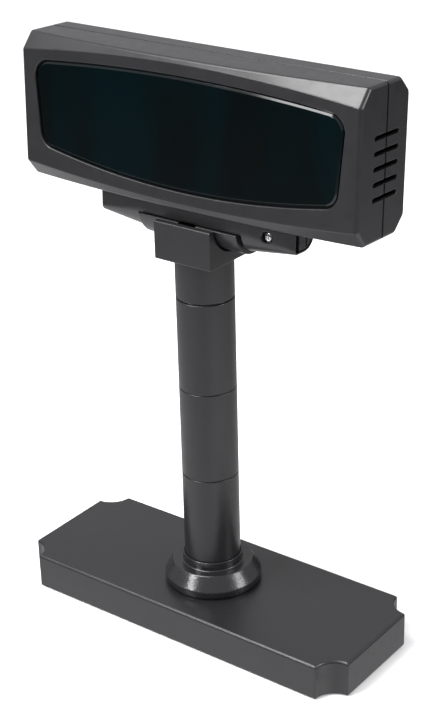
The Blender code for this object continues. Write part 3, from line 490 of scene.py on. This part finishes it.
def circuit_board(name):
    """Green solder mask over copper tracks, with pads in rows."""
    made = Shading(name)
    tracks = made.add("TexBrick", {"Vector": made.place, "Scale": 160.0, "Mortar Size": 0.03},
                      offset=0.5).outputs["Fac"]
    pads = made.add("TexVoronoi", {"Vector": made.place, "Scale": 420.0}, distance="CHEBYCHEV")
    pad = made.span(pads.outputs["Distance"], 1.0, 0.0, 0.16, 0.2)
    mask = made.blend(tracks, (0.006, 0.05, 0.022, 1), (0.012, 0.11, 0.045, 1))
    made.set(base_color=made.blend(pad, mask, (0.5, 0.5, 0.48, 1)), metallic=pad, roughness=0.3,
             normal=made.bump(tracks, 0.03))
    return made.material


def tube_glass(name):
    """Glass over the fine grid wires and dark anodes of the display tube."""
    made = Shading(name)
    mesh = made.add("TexWave", {"Vector": made.place, "Scale": 300.0}, bands_direction="X").outputs["Fac"]
    cells = made.add("TexBrick", {"Vector": made.place, "Scale": 45.0, "Mortar Size": 0.06},
                     offset=0.0).outputs["Fac"]
    tone = made.blend(cells, (0.10, 0.14, 0.135, 1), (0.02, 0.022, 0.022, 1))
    made.set(base_color=made.blend(made.span(mesh, 0.0, 0.35), tone, (0.3, 0.3, 0.29, 1)), roughness=0.08,
             coat_weight=1.0)
    return made.material


MATERIALS = {
    "charcoal_plastic": moulded("charcoal_plastic", (0.0095, 0.0095, 0.0106), 0.34, 0.35),
    "charcoal_smooth": moulded("charcoal_smooth", (0.010, 0.010, 0.0112), 0.24, 0.3, 0.8, 1.6),
    "smoked_window": smoked("smoked_window"),
    "tube_glass": tube_glass("tube_glass"),
    "circuit_board": circuit_board("circuit_board"),
    "component_black": grained("component_black", (0.018, 0.018, 0.018), 0.42, 0.3, 0.02),
    "ferrite": grained("ferrite", (0.07, 0.06, 0.055), 0.6, 0.5, 0.06),
    "nylon": grained("nylon", (0.7, 0.69, 0.64), 0.45, 0.6, 0.02, 0.04, subsurface_weight=0.1),
    "spring_steel": metal("spring_steel", (0.56, 0.56, 0.57), 0.3),
    "zinc_plate": metal("zinc_plate", (0.78, 0.78, 0.79), 0.14),
    "ballast_steel": metal("ballast_steel", (0.33, 0.32, 0.32), 0.45, (1.0, 0.15, 1.0), 0.02),
    "foot_rubber": grained("foot_rubber", (0.02, 0.02, 0.02), 0.75, 0.5, 0.05),
    "cable_sleeve": grained("cable_sleeve", (0.03, 0.03, 0.034), 0.5, 0.7, 0.02),
}


# Pieces

SLOTS = {part["node"]: part["material_slot"] for part in frame["record"]["subparts"]}


def split_wide_faces(mesh):
    """Faces of more than four corners, some of them hollow-sided, as triangles."""
    bm = bmesh.new()
    bm.from_mesh(mesh)
    bmesh.ops.triangulate(bm, faces=[face for face in bm.faces if len(face.verts) > 4])
    bm.to_mesh(mesh)
    bm.free()


def add_piece(name, mesh, body, nodes, place=None):
    """A piece that stands for CAD nodes, placed in the frame, on their body and in their finish."""
    slot = SLOTS[nodes[0]]
    if place is not None:
        mesh.transform(metres(place))
    split_wide_faces(mesh)
    mesh.name = name
    mesh.shade_smooth()
    mesh.set_sharp_from_angle(angle=SHARP_ANGLE)
    mesh.materials.clear()
    mesh.materials.append(MATERIALS[slot])
    piece = bpy.data.objects.new(name, mesh)
    bpy.context.scene.collection.objects.link(piece)
    normals = piece.modifiers.new("normals", "WEIGHTED_NORMAL")
    normals.keep_sharp = True
    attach(piece, body)
    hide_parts(*nodes)


# Base

def base_outline(depth):
    """The base's plan with a quarter circle out of each corner, drawn in by a depth."""
    low, high = node_box("base_cover")
    reach = SCALLOP_RADIUS + depth
    spread = math.degrees(math.asin(depth / reach))
    steps = 12
    points = []
    for turn, corner in enumerate(((high.x, high.y), (low.x, high.y), (low.x, low.y), (high.x, low.y))):
        points += arc(reach, 270 + 90 * turn - spread, 180 + 90 * turn + spread, steps, corner)
    return fillet(points, ([CUSP_RADIUS] + [0.0] * (steps - 1) + [CUSP_RADIUS]) * 4)


def build_base():
    low, high = node_box("base_cover")
    around = [math.atan2(y, x) for x, y in base_outline(BASE_EDGE)]

    def level(depth, z):
        return [(x, y, z) for x, y in base_outline(depth)]

    def circle(radius, z):
        return [(radius * math.cos(a), radius * math.sin(a), z) for a in around]

    roof = high.z - BASE_WALL
    rows = [level(0.5, low.z), level(0.15, low.z + 0.15), level(0.0, low.z + 0.5)]
    rows += [level(depth, high.z - along) for depth, along in reversed(rounding(BASE_EDGE, 7))]
    rows += [circle(FLANGE_HOLE + 0.4, high.z), circle(FLANGE_HOLE, high.z - 0.4), circle(FLANGE_HOLE, roof),
             level(BASE_WALL, roof), level(BASE_WALL, low.z)]
    cover = skin(rows, ring=True)
    socket_low, socket_high = node_box("interface_socket")
    mouth = block((socket_low.x + 1, high.y - 5, socket_low.z + 1),
                  (socket_high.x - 1, high.y + 1, socket_high.z - 1))
    add_piece("base_shell", cut(cover, mouth), "base", ["base_cover"])

    for side in ("front_left", "front_right", "rear_left", "rear_right"):
        foot_low, foot_high = node_box(f"foot_{side}")
        middle = (foot_low + foot_high) / 2
        radius = (foot_high.x - foot_low.x) / 2
        profile = [(radius - depth, foot_low.z + along) for depth, along in rounding(FOOT_EDGE, 4)]
        profile += [(radius, foot_high.z)]
        add_piece(f"foot_pad_{side}", lathe(profile, segments=48), "base", [f"foot_{side}"],
                  Matrix.Translation((middle.x, middle.y, 0.0)))


# Pole

def build_flange():
    low, high = node_box("pole_flange")
    top = node_box("base_cover")[1].z
    shoulder = node_box("pole_section_lower")[0].z - GAP / 2
    outline = [
        (FLANGE_SPIGOT, low.z), (FLANGE_SPIGOT, top + GAP), (FLANGE_FOOT, top + GAP),
        (FLANGE_FOOT, top + FLANGE_FOOT_TOP), (FLANGE_RIM, top + FLANGE_RIM_BOTTOM),
        (FLANGE_RIM, top + FLANGE_RIM_TOP), (FLANGE_SHOULDER, top + FLANGE_CONE_TOP),
        (COLLAR_RADIUS, top + FLANGE_STEP),
        (COLLAR_RADIUS, COLLAR_TOP), (COLLAR_BORE, COLLAR_TOP), (COLLAR_BORE, shoulder),
        (SPIGOT_RADIUS, shoulder), (SPIGOT_RADIUS, high.z), (FLANGE_BORE, high.z), (FLANGE_BORE, low.z)]
    radii = [0.3, 0.3, 0.3, 0.3, 0.7, 2.2, 1.2, 0.8, 0.4, 0.2, 0.1, 0.1, 0.3, 0.3, 0.3]
    add_piece("flange", lathe(fillet(outline, radii, 5), ring=True), "base", ["pole_flange"])


def build_pole():
    """Three sections with a socket below and a spigot above. The upper one's spigot carries the neck."""
    for name in ("lower", "middle", "upper"):
        low, high = node_box(f"pole_section_{name}")
        radius = (high.x - low.x) / 2
        roof = low.z + (SPIGOT_HEIGHT + GAP / 2) + 1
        if name == "upper":
            shoulder = node_box("swivel_washer")[0].z - GAP
            spigot, bore = SWIVEL_SPIGOT, SWIVEL_BORE
        else:
            shoulder = high.z - SPIGOT_HEIGHT
            spigot, bore = SPIGOT_RADIUS, POLE_BORE
        outline = [(SOCKET_RADIUS, low.z), (radius, low.z), (radius, shoulder), (spigot, shoulder),
                   (spigot, high.z), (bore, high.z), (bore, roof), (SOCKET_RADIUS, roof)]
        tube = lathe(fillet(outline, [0.2, 0.45, 0.45, 0.1, 0.3, 0.1, 0.1, 0.1]), ring=True)
        add_piece(f"pole_tube_{name}", tube, "base", [f"pole_section_{name}"])


# Neck

def build_neck():
    """A block with a round saddle in its top and a collar under it, hollowed for the swivel's nut."""
    low, high = node_box("neck_block")
    front, back = low.y - HINGE.y, high.y - HINGE.y
    bottom = NECK_BOTTOM - HINGE.z
    start = 180 + math.degrees(math.asin(-NECK_LIP_FRONT / SADDLE_RADIUS))
    end = 360 - math.degrees(math.asin(-NECK_LIP_BACK / SADDLE_RADIUS))
    saddle = arc(SADDLE_RADIUS, end, start, 40)
    corners = [(front, bottom), (back, bottom), (back, NECK_LIP_BACK), *saddle, (front, NECK_LIP_FRONT)]
    outline = fillet(corners, [0.8, 7.0, 0.7, 0.4] + [0.0] * (len(saddle) - 2) + [0.4, 0.7], 6)
    body = prism(outline, -high.x, high.x, 0.35, turn=Matrix.Translation(HINGE) @ ALONG_X)
    radius = NECK_COLLAR_RADIUS
    collar = lathe([(radius - 0.5, low.z), (radius - 0.15, low.z + 0.15), (radius, low.z + 0.5),
                    (radius, HINGE.z + bottom + 3)])
    body = combine(body, "UNION", collar)
    knuckle_low, knuckle_high = node_box("tilt_knuckle")
    seat = block((knuckle_low.x - GAP, knuckle_low.y - GAP, knuckle_low.z - GAP),
                 (knuckle_high.x + GAP, knuckle_high.y + GAP, HINGE.z))
    bore = rod(SWIVEL_SPIGOT + GAP, low.z - 1, low.z + 10)
    add_piece("neck_body", cut(body, bore, rod(NUT_ROOM_RADIUS, *NUT_ROOM), seat), "neck", ["neck_block"])


# Hinge

def bar_outline(radius, corner, top, edge=0.0):
    """The bar's section: an upright front, a corner below it and a round back, held in at the back."""
    under = [*arc(corner, 180, 270, 16, (corner - radius, corner - radius)), *arc(radius, 270, 360, 20)[1:]]
    back = min(radius, BAR_BACK)
    outline = [(-radius, top), *[(min(y, BAR_BACK), z) for y, z in under], (back, top)]
    return fillet(outline, [edge] + [0.0] * len(under) + [edge])


def arm_size(x, arm_end):
    """The radius and the front corner of the bar's section."""
    share = max(0.0, (abs(x) - ARM_START) / (arm_end - ARM_START))
    return (ARM_START_RADIUS + (ARM_END_RADIUS - ARM_START_RADIUS) * share,
            ARM_START_RADIUS + (ARM_END_CORNER - ARM_START_RADIUS) * share)


def plug_outline(radius, top, front):
    """The end plug's section: as its pocket's, with the front cut off."""
    return [(front, top), (front, -radius), *arc(radius, 270, 360, 20), (radius, top)]


def bar_with_pockets(arm_end):
    """The bar: tapered arms, and between them a roof over the room for the knuckle and the barrel."""
    top = HINGE_UNDER_FACE - HEAD_HALF_HEIGHT - GAP
    half = [(ARM_START, 0.0)] + [(arm_end - along, depth) for depth, along in reversed(rounding(0.7, 4))]
    stations = [(-x, depth) for x, depth in reversed(half)] + half
    bar = skin([[(x, y, z) for y, z in inset(bar_outline(*arm_size(x, arm_end), top, 0.8), depth)]
                for x, depth in stations])
    inner = BARREL_HALF
    barrel_room = block((-inner, -20, -20), (inner, 20, BARREL_SEAM))
    knuckle_room = block((-inner, -ARM_START_RADIUS + BAR_WALL, -20),
                         (inner, BAR_BACK - BAR_WALL, top - BAR_ROOF))
    bar = cut(bar, barrel_room, knuckle_room)
    core = -ARM_CORE_RADIUS
    groove = [(-20, -20), (20, -20), (20, core), (core, core), (core, BARREL_SEAM), (-20, BARREL_SEAM)]
    for side in (-1, 1):
        near, far = sorted((side * (inner - 0.5), side * ARM_START))
        bar = cut(bar, prism(groove, near, far, 0.02, 1, turn=ALONG_X))
        near, far = sorted((side * (arm_end - PLUG_DEPTH), side * (arm_end + 1)))
        pocket = bar_outline(PLUG_RADIUS, PLUG_CORNER, PLUG_TOP)
        bar = cut(bar, prism(pocket, near, far, 0.05, turn=ALONG_X))
    return bar


def build_barrel(side):
    """One half of the barrel below the bar: a trough with a rounded rim."""
    low, high = node_box(f"barrel_cover_{side}")
    dip = math.degrees(math.asin((GAP - BARREL_SEAM) / BARREL_RADIUS))
    steps = 40
    outline = [(min(y, BAR_BACK), z) for y, z in arc(BARREL_RADIUS, 180 + dip, 360 - dip, steps)]
    outline = fillet(outline, [0.55] + [0.0] * (steps - 1) + [0.55])
    wall = BARREL_WALL
    core = [(min(y, BAR_BACK - wall), z) for y, z in arc(BARREL_RADIUS - wall, 182, 358, steps)]
    ends = (low.x - 1, high.x - 2) if side == "right" else (low.x + 2, high.x + 1)
    shell = cut(prism(outline, low.x, high.x, 0.3, turn=ALONG_X), prism(core, *ends, 0.05, turn=ALONG_X))
    add_piece(f"barrel_shell_{side}", shell, "head", [f"barrel_cover_{side}"], LEANING)


def build_end_plug(side, arm_end):
    low, high = node_box(f"bar_end_plug_{side}")
    sign = -1 if side == "left" else 1
    near, far = sorted((sign * (arm_end - 1.6), sign * (arm_end + 1)))
    outline = plug_outline(PLUG_RADIUS - GAP, PLUG_TOP - GAP, PLUG_FRONT)
    slot = block((near, PLUG_SLOT[0], -PLUG_RADIUS + 1.5), (far, PLUG_SLOT[1], PLUG_TOP - 1.5))
    plug = cut(prism(outline, low.x, high.x, 0.3, turn=ALONG_X), slot)
    add_piece(f"end_plug_{side}", plug, "head", [f"bar_end_plug_{side}"], LEANING)


def build_hinge():
    arm_end = node_box("hinge_bar")[1].x
    front = -arm_size(LOCK_SCREW_X, arm_end)[0]
    at_screw = Matrix.Translation((LOCK_SCREW_X, front, LOCK_SCREW_Z)) @ FACING_BACK
    recess = lathe([(3.9, -0.6), (3.4, 0.2), (3.4, LOCK_SCREW_DEPTH)], segments=48, turn=at_screw)
    add_piece("bar_body", cut(bar_with_pockets(arm_end), recess), "head", ["hinge_bar"], LEANING)
    for side in ("left", "right"):
        build_barrel(side)
        build_end_plug(side, arm_end)
    screw_place = Matrix.Translation((LOCK_SCREW_X, front + 1.2, LOCK_SCREW_Z)) @ FACING_BACK
    screw = cross_screw(*LOCK_SCREW_HEAD, *LOCK_SCREW_SHANK)
    add_piece("lock_screw", screw, "head", ["tilt_lock_screw"], LEANING @ screw_place)


def cross_screw(head_radius, head_height, shank_radius, length):
    """A pan-head screw whose head faces -Z, with a cross recess."""
    profile = [(head_radius * 0.55, 0.0), (head_radius * 0.86, 0.12), (head_radius, 0.5),
               (head_radius, head_height), (shank_radius, head_height), (shank_radius, length)]
    arm, width, depth = head_radius * 0.62, head_radius * 0.16, head_height * 0.75
    across = block((-arm, -width, -1), (arm, width, depth))
    down = block((-width, -arm, -1), (width, arm, depth))
    return cut(lathe(profile, segments=48), across, down)


# Head

def face_edge(x):
    """The face's lower and upper edge, which bow towards the middle."""
    share = (x / HEAD_HALF_WIDTH) ** 2
    return FACE_BOTTOM + FACE_BOW_BELOW * share, FACE_TOP - FACE_BOW * share


def front_section(x):
    low, high = face_edge(x)
    depth = BEVEL_DEPTH + BEVEL_DEPTH_GAIN * (x / HEAD_HALF_WIDTH) ** 2
    half = HEAD_HALF_HEIGHT
    return [(SEAM, -half), (depth, -half), (0.0, low), (0.0, high), (depth, half), (SEAM, half)]


def rear_section(_):
    half = HEAD_HALF_HEIGHT
    return [(SEAM, -half), (BACK_EDGE, -half), (HEAD_DEPTH, -BACK_HALF_HEIGHT),
            (HEAD_DEPTH, BACK_HALF_HEIGHT), (BACK_EDGE, half), (SEAM, half)]


def half_shell(section, seam, radii):
    """A moulded half of the head: the section lofted along X, closed at the sides and open at the seam.

    Its lip at the seam steps in, which makes the groove round the head.
    """
    middle = HEAD_HALF_WIDTH - SIDE_ROUNDING
    count = 56
    end = [(HEAD_HALF_WIDTH - along, depth) for depth, along in rounding(SIDE_ROUNDING, 6)][:-1]
    stations = [(-x, depth) for x, depth in end]
    stations += [(middle * (2 * i / count - 1), 0.0) for i in range(count + 1)]
    stations += reversed(end)
    outward = math.copysign(1.0, SEAM - seam)
    steps = 5

    def path(x, depth, corner_radii, lip):
        """The section without its two corners at the seam, and drawn from the lip instead."""
        outline = inset(section(x), depth)
        rounded = fillet(outline, corner_radii, steps)[steps + 1:-steps - 1]
        return [(lip, outline[0][1]), *rounded, (lip, outline[-1][1])]

    bm = bmesh.new()
    share = (HEAD_HALF_WIDTH - WALL) / HEAD_HALF_WIDTH
    rim = seam - outward * (SEAM_REVEAL + SEAM_EDGE)
    outer = [[bm.verts.new((x, y, z)) for y, z in path(x, depth, radii, rim)] for x, depth in stations]
    inner = [[bm.verts.new((x * share, y, z)) for y, z in path(x, WALL, 0.4, seam)] for x, _ in stations]
    for grid in (outer, inner):
        for near, far in zip(grid, grid[1:]):
            for i in range(len(near) - 1):
                bm.faces.new((near[i], near[i + 1], far[i + 1], far[i]))
        bm.faces.new(grid[0])
        bm.faces.new(grid[-1])

    def border(grid):
        return [row[0] for row in grid] + [row[-1] for row in reversed(grid)]

    rings = [border(outer)]
    for y, depth in ((seam - outward * SEAM_REVEAL, SEAM_EDGE), (seam - outward * SEAM_REVEAL, SEAM_DEPTH),
                     (seam, SEAM_DEPTH)):
        wide = 1 - depth / HEAD_HALF_WIDTH
        tall = 1 - depth / HEAD_HALF_HEIGHT
        rings.append([bm.verts.new((v.co.x * wide, y, v.co.z * tall)) for v in rings[0]])
    rings.append(border(inner))
    for near, far in zip(rings, rings[1:]):
        for i in range(len(near)):
            j = (i + 1) % len(near)
            bm.faces.new((near[i], near[j], far[j], far[i]))
    return to_mesh(bm)


def window_edge(x, upper):
    if upper:
        return WINDOW_TOP - WINDOW_TOP_BOW * x * x
    return WINDOW_BOTTOM + WINDOW_BOTTOM_BOW * x * x


def corner_centre(upper, radius):
    """Centre of the round that meets the window's side and its upper or lower edge."""
    sign = -1 if upper else 1
    x = z = 0.0
    for _ in range(20):
        z = window_edge(x, upper) + sign * radius
        x = WINDOW_SIDE + WINDOW_FLARE * z - radius
    return x, z


def window_outline(growth):
    """The window's edge, moved out by a growth."""
    top_x, top_z = corner_centre(True, WINDOW_CORNER)
    low_x, low_z = corner_centre(False, WINDOW_CORNER)
    radius = WINDOW_CORNER + growth
    edge_steps, corner_steps = 40, 12
    right = [*arc(radius, -70, -4, corner_steps, (low_x, low_z)),
             *arc(radius, 4, 86, corner_steps, (top_x, top_z))]
    shares = [1 - 2 * i / edge_steps for i in range(1, edge_steps)]
    top = [(top_x * share, window_edge(top_x * share, True) + growth) for share in shares]
    bottom = [(-low_x * share, window_edge(low_x * share, False) - growth) for share in shares]
    left = [(-x, z) for x, z in reversed(right)]
    return [*right, *top, *left, *bottom]


def window_rows(levels):
    return [[(x, y, z) for x, z in window_outline(growth)] for y, growth in levels]


def vents():
    """Slots across the seam on both sides, a little wider at the surface."""
    slots = []
    front, back = VENT_SPAN
    half = VENT_HEIGHT / 2
    side_levels = ((HEAD_HALF_WIDTH + 0.2, 0.25), (HEAD_HALF_WIDTH - 0.1, 0.0), (HEAD_HALF_WIDTH - 6, 0.0))
    for number in range(VENT_COUNT):
        z = VENT_TOP - VENT_PITCH * number
        for side in (-1, 1):
            rows = []
            for x, growth in side_levels:
                ends = [*arc(half + growth, 90, 270, 8, (front + half, z)),
                        *arc(half + growth, -90, 90, 8, (back - half, z))]
                rows.append([(side * x, y, height) for y, height in ends])
            slots.append(skin(rows))
    return together(*slots)


def build_head():
    bezel = half_shell(front_section, SEAM - GAP / 2, [0.5, 2.0, 1.5, 1.5, 2.0, 0.5])
    opening = skin(window_rows([(-0.4, 0.75), (0.1, 0.2), (0.4, 0.0), (WALL + 1, 0.0)]))
    add_piece("bezel_shell", cut(bezel, opening, vents()), "head", ["front_bezel"], ON_FACE)

    rear = half_shell(rear_section, SEAM + GAP / 2, [0.5, 3.0, 3.0, 3.0, 3.0, 0.5])
    x, z = CASE_SCREW_PLACE
    places = [Matrix.Translation((sx * x, 0, sz * z)) @ FACING_BACK for sz in (-1, 1) for sx in (-1, 1)]
    radius, rim, depth = CASE_SCREW_SINK
    sink = [(radius, HEAD_DEPTH - depth), (radius, HEAD_DEPTH - 0.3), (rim, HEAD_DEPTH + 0.4)]
    sinks = [lathe(sink, segments=40, turn=place) for place in places]
    tubes = [rod(CASE_SCREW_TUBE, SEAM + GAP, HEAD_DEPTH - 1, segments=40, turn=place) for place in places]
    rear = combine(rear, "UNION", together(*tubes))
    add_piece("rear_case", cut(rear, together(*sinks), vents()), "head", ["rear_shell"], ON_FACE)

    pane = skin(window_rows([(PANE_FRONT, -2.25), (1.1, -1.1), (WALL + GAP, -1.1),
                             (WALL + GAP, PANE_FLANGE), (PANE_BACK, PANE_FLANGE)]))
    add_piece("smoked_pane", pane, "head", ["display_window"], ON_FACE)


# Stage

def add_camera():
    azimuth, elevation, roll = (math.radians(a) for a in (CAMERA_AZIMUTH, CAMERA_ELEVATION, CAMERA_ROLL))
    back = Vector((math.sin(azimuth) * math.cos(elevation), -math.cos(azimuth) * math.cos(elevation),
                   math.sin(elevation)))
    level = Vector((math.cos(azimuth), math.sin(azimuth), 0.0))
    upright = back.cross(level)
    right = math.cos(roll) * level + math.sin(roll) * upright
    up = math.cos(roll) * upright - math.sin(roll) * level
    aim = (cad_low + cad_high) / 2 + Vector(CAMERA_AIM) * MM
    camera = bpy.data.objects.new("camera", bpy.data.cameras.new("camera"))
    camera.data.lens = CAMERA_LENS
    camera.data.sensor_width = 36.0
    camera.data.clip_start = 0.01
    turn = Matrix((right, up, back)).transposed().to_4x4()
    camera.matrix_world = Matrix.Translation(aim + back * CAMERA_DISTANCE * MM) @ turn
    bpy.context.scene.collection.objects.link(camera)
    bpy.context.scene.camera = camera


def add_softbox(name, azimuth, elevation, distance, size, power):
    """An area light that looks at the object's middle. Azimuth 0 is in front of the display's face."""
    turn, rise = math.radians(azimuth), math.radians(elevation)
    way = Vector((math.sin(turn) * math.cos(rise), -math.cos(turn) * math.cos(rise), math.sin(rise)))
    light = bpy.data.lights.new(name, "AREA")
    light.shape = "RECTANGLE"
    light.size, light.size_y = size
    light.energy = power
    box = bpy.data.objects.new(name, light)
    box.location = (cad_low + cad_high) / 2 + way * distance
    box.rotation_euler = (-way).to_track_quat("-Z", "Y").to_euler()
    bpy.context.scene.collection.objects.link(box)


def add_world():
    """Even studio light from above, a dark band just under the horizon, and a white table further down.

    The table is brighter in front of the object and to its right.
    """
    world = bpy.data.worlds.new("studio")
    world.use_nodes = True
    tree = world.node_tree

    def mapped(value, start, end, low, high):
        node = tree.nodes.new("ShaderNodeMapRange")
        for name, number in (("From Min", start), ("From Max", end), ("To Min", low), ("To Max", high)):
            node.inputs[name].default_value = number
        tree.links.new(value, node.inputs["Value"])
        return node.outputs["Result"]

    def maths(operation, *values):
        node = tree.nodes.new("ShaderNodeMath")
        node.operation = operation
        for socket, value in zip(node.inputs, values):
            if isinstance(value, float):
                socket.default_value = value
            else:
                tree.links.new(value, socket)
        return node.outputs[0]

    way = tree.nodes.new("ShaderNodeSeparateXYZ")
    tree.links.new(tree.nodes.new("ShaderNodeTexCoord").outputs["Generated"], way.inputs[0])
    ramp = tree.nodes.new("ShaderNodeValToRGB")
    while len(ramp.color_ramp.elements) < len(WORLD_STOPS):
        ramp.color_ramp.elements.new(0.5)
    for element, (z, grey) in zip(ramp.color_ramp.elements, WORLD_STOPS):
        element.position = (z + 1) / 2
        element.color = (grey, grey, grey * 1.02, 1.0)
    tree.links.new(mapped(way.outputs["Z"], -1, 1, 0, 1), ramp.inputs["Fac"])

    below = mapped(way.outputs["Z"], -0.05, -0.15, 0, 1)
    in_front = mapped(way.outputs["Y"], -0.6, 0.7, 1.65, 1.0)
    beside = mapped(way.outputs["X"], 0.5, 0.85, 1.0, 1.6)
    gain = maths("SUBTRACT", maths("MULTIPLY", in_front, beside), 1.0)
    strength = maths("MULTIPLY_ADD", gain, below, 1.0)
    tree.links.new(ramp.outputs["Color"], tree.nodes["Background"].inputs["Color"])
    tree.links.new(strength, tree.nodes["Background"].inputs["Strength"])
    bpy.context.scene.world = world


def add_floor():
    bm = bmesh.new()
    bmesh.ops.create_grid(bm, x_segments=1, y_segments=1, size=FLOOR_HALF)
    mesh = bpy.data.meshes.new("floor")
    bm.to_mesh(mesh)
    bm.free()
    floor = bpy.data.objects.new("floor", mesh)
    floor.location.z = cad_low.z
    floor.visible_glossy = False
    made = Shading("floor")
    made.set(base_color=(0.93, 0.93, 0.93, 1.0), roughness=0.9, specular_ior_level=0.0)
    mesh.materials.append(made.material)
    bpy.context.scene.collection.objects.link(floor)


add_camera()
build_base()
build_flange()
build_pole()
build_neck()
build_hinge()
build_head()
for name, obj in frame["nodes"].items():
    for place in obj.material_slots:
        place.material = MATERIALS[SLOTS[name]]
add_floor()
add_world()
for softbox in SOFTBOXES:
    add_softbox(*softbox)
bpy.context.scene.view_settings.view_transform = "Standard"
